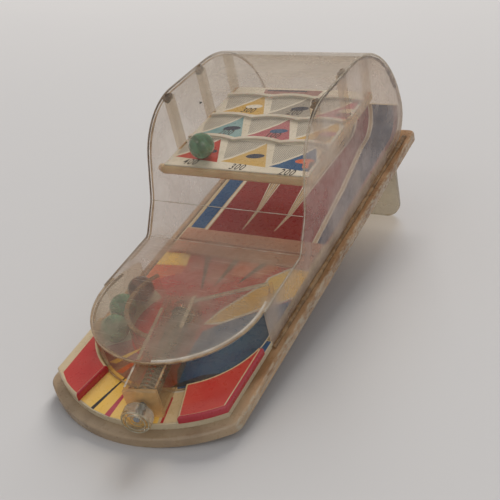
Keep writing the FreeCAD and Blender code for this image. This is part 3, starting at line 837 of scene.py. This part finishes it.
def printedNumber(name, text, x, y, size):
    letters = bpy.data.curves.new(name + "Letters", "FONT")
    letters.body = text
    letters.size = size
    letters.shear = 0.25
    letters.offset = 0.02
    letters.space_character = 1.15
    holder = bpy.data.objects.new(name + "Holder", letters)
    bpy.context.collection.objects.link(holder)
    bpy.context.view_layer.update()
    flat = bpy.data.meshes.new_from_object(holder)
    bpy.data.objects.remove(holder)
    tall, top = scorePrint["numberTall"], scoreTop + 2 * scorePrint["lift"]
    points = [(v.co.x + x, v.co.y * tall + y, top) for v in flat.vertices]
    faces = [tuple(face.vertices) for face in flat.polygons]
    makePiece(name, points, faces, [finishes["ink"]], smooth=0)


for row in range(3):
    for column in range(3):
        tip, shift = cellTip(row, column), scorePrint["numberShift"][row]
        printedNumber("number%d%d" % (row + 1, column + 1), cellNumbers[row][column],
                      tip[0] + shift[0], tip[1] + shift[1], scorePrint["numberSize"])
print("score sheet printed")

# edges, seams, cement and painted highlights
seamLook = {
    "hub": (110.0, 10.0),      # the cover's profile is sorted round this point
    "floor": -3.6,
    "edgeX": 45.5,
}


def coverProfile(node):
    # (y, z) along the top of a side panel, from the drum to the rear
    high = {}
    for p in deckPoints(node):
        if p.z > seamLook["floor"]:
            y, z = p.y - seamLook["hub"][0], p.z - seamLook["hub"][1]
            high[round(math.degrees(math.atan2(z, y)), 2)] = (p.y, p.z)
    return [high[key] for key in sorted(high, reverse=True)]


def profileRun(x, first, last, outwards):
    # deck points along the cover's profile between two places along it, each 0 to 1, pushed outwards
    profile = [Vector(p) for p in coverProfile("side_panel_right")]
    lengths = [0.0]
    for a, b in zip(profile, profile[1:]):
        lengths.append(lengths[-1] + (b - a).length)
    run = []
    steps = 110
    for i in range(steps + 1):
        target = lengths[-1] * (first + (last - first) * i / steps)
        k = max(0, min(len(profile) - 2, sum(1 for value in lengths if value <= target) - 1))
        share = (target - lengths[k]) / max(1e-6, lengths[k + 1] - lengths[k])
        here = profile[k].lerp(profile[k + 1], share)
        ahead = (profile[k + 1] - profile[k]).normalized()
        run.append((x, here.x - ahead.y * outwards, here.y + ahead.x * outwards))
    return run


def lumpy(base, swing, seed):
    def radius(i):
        return base + swing * noise.noise(Vector((i * 0.21, seed, 0.5)))
    return radius


seams = {   # side, inset, profile from and to, push outwards, bead, swing, seed, finish
    "seamLeftEdge": (-1, 0.0, 0.0, 0.97, 1.0, 0.42, 0.12, 1.0, "brownGlue"),
    # the white right edge line is a painted highlight along the right panel's profile
    "rightEdgeHighlight": (1, 0.0, 0.0, 0.97, 1.2, 0.36, 0.1, 2.0, "whiteHighlight"),
    "seamRightGlue": (1, 0.9, 0.24, 0.52, -0.2, 0.85, 0.5, 3.0, "brownGlue"),
    "seamRightRear": (1, 0.6, 0.52, 0.96, 0.1, 0.5, 0.2, 4.0, "creamGlue"),
    "seamLeftGlue": (-1, 0.9, 0.05, 0.9, -0.1, 0.45, 0.25, 5.0, "creamGlue"),
}
for name, (side, inset, first, last, push, bead, swing, seed, finish) in seams.items():
    run = profileRun(side * (seamLook["edgeX"] - inset), first, last, push)
    tube(name, run, lumpy(bead, swing, seed), finishes[finish])

# white lines along the cover's bends at the waist and kink: painted highlights
creaseHighlights = {"waistHighlight": (53.6, 33.5, 0.22), "kinkHighlight": (42.0, 18.0, 0.12)}   # y, z, bead
for name, (y, z, bead) in creaseHighlights.items():
    tube(name, [(-45 + 3 * i, y - 0.15, z) for i in range(31)], bead, finishes["whiteHighlight"])


def glueLump(name, middle, size, squeeze, material, seed):
    # a drop of set cement, lumpy from its own noise
    drop = bmesh.new()
    bmesh.ops.create_icosphere(drop, subdivisions=3, radius=1.0)
    points = []
    for v in drop.verts:
        swell = 1 + 0.35 * noise.noise(v.co * 1.7 + Vector((seed, 0, 0)))
        points.append([middle[i] + v.co[i] * size * squeeze[i] * swell for i in range(3)])
    faces = [tuple(v.index for v in face.verts) for face in drop.faces]
    drop.free()
    makePiece(name, points, faces, [material], smooth=60)


for side, label in ((-1, "left"), (1, "right")):
    for place, seed in (("front", 1.0), ("middle", 5.0)):
        low, high = deckBox("shelf_post_%s_%s" % (label, place))
        glueLump("knot_%s_%s" % (label, place), (side * 43.2, (low.y + high.y) / 2, high.z - 0.5), 2.4,
                 (0.8, 1.5, 1.0), finishes["brownGlue"], seed + side)


def cappedWall(name, node, z, depth, proud, material, slotName):
    # cement line round the top edge of a wall
    for number, loop in enumerate(topLoops(node, z)):
        rings = [(proud, z - depth, 0), (proud, z - 0.02, 0)]
        skin(name + str(number + 1), loop, rings, [material], slotName)


cappedWall("laneCap", "left_lane_wall", 16.0, 1.0, 0.12, finishes["amberGlue"], "clear_walls")
cappedWall("guideCap", "right_guide_wall", 16.0, 0.8, 0.12, finishes["paleGlueAndHighlight"], "clear_walls")

drumBeads = {   # radius, height, first and last angle, bead, swing, seed, finish, slot
    "drumRim": (44.6, 16.9, 172, 372, 0.5, 0.2, 6.0, "creamGlue", "clear_shell"),
    "drumRimInner": (43.4, 15.9, 165, 300, 0.55, 0.25, 7.0, "amberGlue", "clear_shell"),
    # drumShine is a painted white highlight along the drum's right rim
    "drumShine": (43.5, 16.9, 282, 372, 0.75, 0.2, 8.0, "shineEdge", "clear_shell"),
    "drumFoot": (45.2, 0.4, 186, 352, 0.5, 0.2, 9.0, "creamGlue", "clear_walls"),
}
for name, (radius, z, first, last, bead, swing, seed, finish, slotName) in drumBeads.items():
    tube(name, [onCircle(radius, a, z) for a in range(first, last, 3)], lumpy(bead, swing, seed),
         finishes[finish])

trayTop = deckBox("base_tray")[1].z
for side, label, size in ((-1, "Left", 0.7), (1, "Right", 1.25)):
    tube("footGlue" + label, [(side * 47.4, y, trayTop + 0.1) for y in range(-2, 196, 3)],
         lumpy(size, 0.5, 10.0 + side), finishes["amberGlue"])
shelfLow, shelfHigh = deckBox("score_shelf")
lipLook = {
    "proud": 0.35,
    "depth": 3.0,
    "lift": 0.3,
    "below": 0.25,
    "run": ((-45.7, 1.6), (-43.6, 0.0), (-20, 0.0), (0, 0.0), (20, 0.0), (43.6, 0.0), (45.7, 1.6)),
}
lipRings = []
front, rear = shelfLow.y - lipLook["proud"], shelfLow.y + lipLook["depth"]
top = shelfHigh.z + lipLook["lift"]
for x, drop in lipLook["run"]:
    foot = shelfLow.z - lipLook["below"] + drop
    lipRings.append([(x, rear, top), (x, front + 1.2, top), (x, front + 0.35, top - 0.35),
                     (x, front, top - 1.2), (x, front, foot + 1.0), (x, front + 0.6, foot), (x, rear, foot)])
lipPoints = [p for ring in lipRings for p in ring]
lipSize = len(lipRings[0])
lipFaces = [(r * lipSize + i, (r + 1) * lipSize + i, (r + 1) * lipSize + i + 1, r * lipSize + i + 1)
            for r in range(len(lipRings) - 1) for i in range(lipSize - 1)]
lipFaces += [(r * lipSize + lipSize - 1, (r + 1) * lipSize + lipSize - 1, (r + 1) * lipSize, r * lipSize)
             for r in range(len(lipRings) - 1)]
lipFaces += [tuple(range(lipSize)), tuple(len(lipPoints) - 1 - i for i in range(lipSize))]
makePiece("shelfLip", lipPoints, lipFaces, [finishes["cream"]])
print("seams and cement laid")

# launcher
launcher = {
    "turn": 12.5,
    "offset": -1.0,
    "height": 7.8,
    "wire": 0.5,
    "coil": 4.4,
    "turns": 21,
    "front": -58.2,
    "rear": -2.6,
    "keep": 0.67,            # share of its length left at full pull
    "turnSteps": 16,
    "closing": 0.035,
}
launchTurn = Matrix.Rotation(math.radians(launcher["turn"]), 4, "Z")


def onLauncher(x, y, z=0.0):
    return launchTurn @ Vector((x, y, 0)) + Vector((launcher["offset"], 0, z))


def coilPoints():
    # closed end turns, an even pitch between them
    steps = launcher["turnSteps"]
    count = launcher["turns"] * steps
    length = launcher["rear"] - launcher["front"]
    made = []
    for i in range(count + 1):
        share = i / count
        eased = share - launcher["closing"] * math.sin(2 * math.pi * share)
        turn = 2 * math.pi * i / steps
        y = launcher["front"] + length * eased
        made.append(onLauncher(launcher["coil"] * math.cos(turn), y,
                               launcher["height"] + launcher["coil"] * math.sin(turn)))
    return made


spring = tube("launchSpring", coilPoints(), launcher["wire"], finishes["steel"], 6)
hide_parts("plunger_spring")
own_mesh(spring)
hookPath = [onLauncher(*p) for p in ((4.4, -57.6, 7.8), (3.6, -58.0, 10.6), (0.6, -58.2, 12.6),
                                     (-2.2, -57.6, 12.2), (-3.6, -55.8, 11.6), (-5.0, -54.6, 11.2))]
tube("springHook", hookPath, 0.55, finishes["blackSteel"])


def launcherStrip(name, x0, x1, y0, y1, z, material):
    # a thin strip on the housing's roof, with a wavering edge; the two sheen strips are painted highlights
    points, faces = [], []
    steps = 24
    for i in range(steps + 1):
        y = y0 + (y1 - y0) * i / steps
        waver = 0.3 * noise.noise(Vector((i * 0.4, x0, 0.0)))
        points += [onLauncher(x0, y, z), onLauncher(x1 + waver, y, z)]
    for i in range(steps):
        faces.append((2 * i, 2 * i + 1, 2 * i + 3, 2 * i + 2))
    makePiece(name, points, faces, [material], smooth=0)


strips = {   # x and y ranges, height, finish
    # the two sheen strips are painted highlights on the housing's roof
    "housingSheenLeft": (-7.9, -6.2, -42, -6, 15.98, "paleGlueAndHighlight"),
    "housingSheenRight": (5.9, 7.9, -20, 2.8, 15.98, "whiteHighlight"),
    "housingFrontLeft": (-7.9, -6.9, -58.8, -44, 16.03, "whiteHighlight"),
    "housingFrontRight": (6.9, 7.9, -58.8, -44, 16.03, "creamGlue"),
}
for name, (*ranges, finish) in strips.items():
    launcherStrip(name, *ranges, finishes[finish])
knobInLauncher = [launchTurn.inverted() @ (p - Vector((launcher["offset"], 0, 0)))
                  for p in deckPoints("plunger_knob")]
knobFront = min(p.y for p in knobInLauncher)
knobRear = max(p.y for p in knobInLauncher)
# pale rings along the knob's edges: painted highlights
ringStep = 0.2618   # radians between a ring's points
knobHighlightRings = {   # radius, bead, place along the launcher
    "rim": (6.2, 0.28, knobFront + 0.1),
    "dish": (4.5, 0.24, knobFront),
    "floor": (2.6, 0.16, knobFront + 1.6),
    "back": (6.3, 0.22, knobRear - 0.2),
}
for ring, (radius, wire, y) in knobHighlightRings.items():
    circle = [onLauncher(radius * math.cos(a * ringStep), y,
                         launcher["height"] + radius * math.sin(a * ringStep)) for a in range(25)]
    tube("knobHighlight_" + ring, circle, wire, finishes["paleGlueAndHighlight"], 6, "plunger")
print("launcher made")

# small marks
glueLump("domeSpeck", (-19.5, 84.5, 76.4), 0.75, (1.0, 1.0, 0.4), finishes["blackSteel"], 3.0)

# camera, lights and floor
cameraLook = {
    "target": (37.979, 11.855, 43.115),     # deck millimetres
    "azimuth": 34.166,
    "elevation": 35.154,
    "roll": -13.733,
    "distance": 401.868,
    "lens": 63.54,
}


def placeCamera(look):
    a, e, r = (math.radians(look[k]) for k in ("azimuth", "elevation", "roll"))
    back = Vector((math.sin(a) * math.cos(e), -math.cos(a) * math.cos(e), math.sin(e)))
    right = (-back).cross(Vector((0, 0, 1))).normalized()
    up = right.cross(-back)
    across = right * math.cos(r) + up * math.sin(r)
    above = up * math.cos(r) - right * math.sin(r)
    turn = Matrix((across, above, back)).transposed()
    lens = bpy.data.cameras.new("camera")
    lens.lens = look["lens"]
    lens.clip_start = 0.01
    made = bpy.data.objects.new("camera", lens)
    bpy.context.collection.objects.link(made)
    place = deckToRow @ (Vector(look["target"]) + back * look["distance"])
    made.matrix_world = Matrix.Translation(place) @ deckTurn @ turn.to_4x4()
    bpy.context.scene.camera = made


def softPanel(name, place, size, power, colour, mirrored):
    light = bpy.data.lights.new(name, "AREA")
    light.shape = "RECTANGLE"
    light.size, light.size_y = size, size
    light.energy = power
    light.color = colour
    made = bpy.data.objects.new(name, light)
    bpy.context.collection.objects.link(made)
    made.visible_glossy = mirrored
    made.location = place
    made.rotation_euler = (studio["aim"] - Vector(place)).to_track_quat("-Z", "Y").to_euler()


studio = {
    "floorHalf": 3.0,
    "floorColour": "c5c2c0",
    "floorRough": 0.75,
    "sky": (0.60, 0.61, 0.63),
    "skyStrength": 0.66,
    "aim": Vector((0, 0, 0.03)),
}
lamps = {   # place, size, watts, colour, seen in reflections
    "keyLight": ((-0.8, 3.3, 2.4), 2.0, 168, (1.0, 0.98, 0.95), False),
    "glintLight": ((-0.35, -1.0, 1.3), 0.25, 1.2, (1.0, 1.0, 1.0), True),
    "fillLight": ((1.1, -0.9, 0.9), 1.2, 4, (0.95, 0.97, 1.0), True),
}


def paleFloor():
    made, tree, out = newMaterial("pale_floor")
    coords = put(tree, "ShaderNodeTexCoord").outputs["Object"]
    speckle = patches(tree, coords, 6.0, 3, 0.4, 0.6, 0.0, 0.05)
    base = blended(tree, speckle, tinted(studio["floorColour"]), (0.5, 0.5, 0.5))
    showShader(tree, out, put(tree, "ShaderNodeBsdfPrincipled", None, {
        "Base Color": base, "Roughness": studio["floorRough"]}))
    half = studio["floorHalf"]
    mesh = bpy.data.meshes.new("floor")
    corners = [(-half, -half, 0), (half, -half, 0), (half, half, 0), (-half, half, 0)]
    mesh.from_pydata(corners, [], [(0, 1, 2, 3)])
    mesh.materials.append(made)
    floor = bpy.data.objects.new("floor", mesh)
    bpy.context.collection.objects.link(floor)


placeCamera(cameraLook)
paleFloor()
for name, lamp in lamps.items():
    softPanel(name, *lamp)
world = bpy.data.worlds.new("paleRoom")
world.use_nodes = True
background = world.node_tree.nodes["Background"]
background.inputs[0].default_value = (*studio["sky"], 1)
background.inputs[1].default_value = studio["skyStrength"]
scene = bpy.context.scene
scene.world = world
scene.view_settings.view_transform = "Standard"
scene.cycles.transparent_max_bounces = 32
print("camera, lights and floor placed")
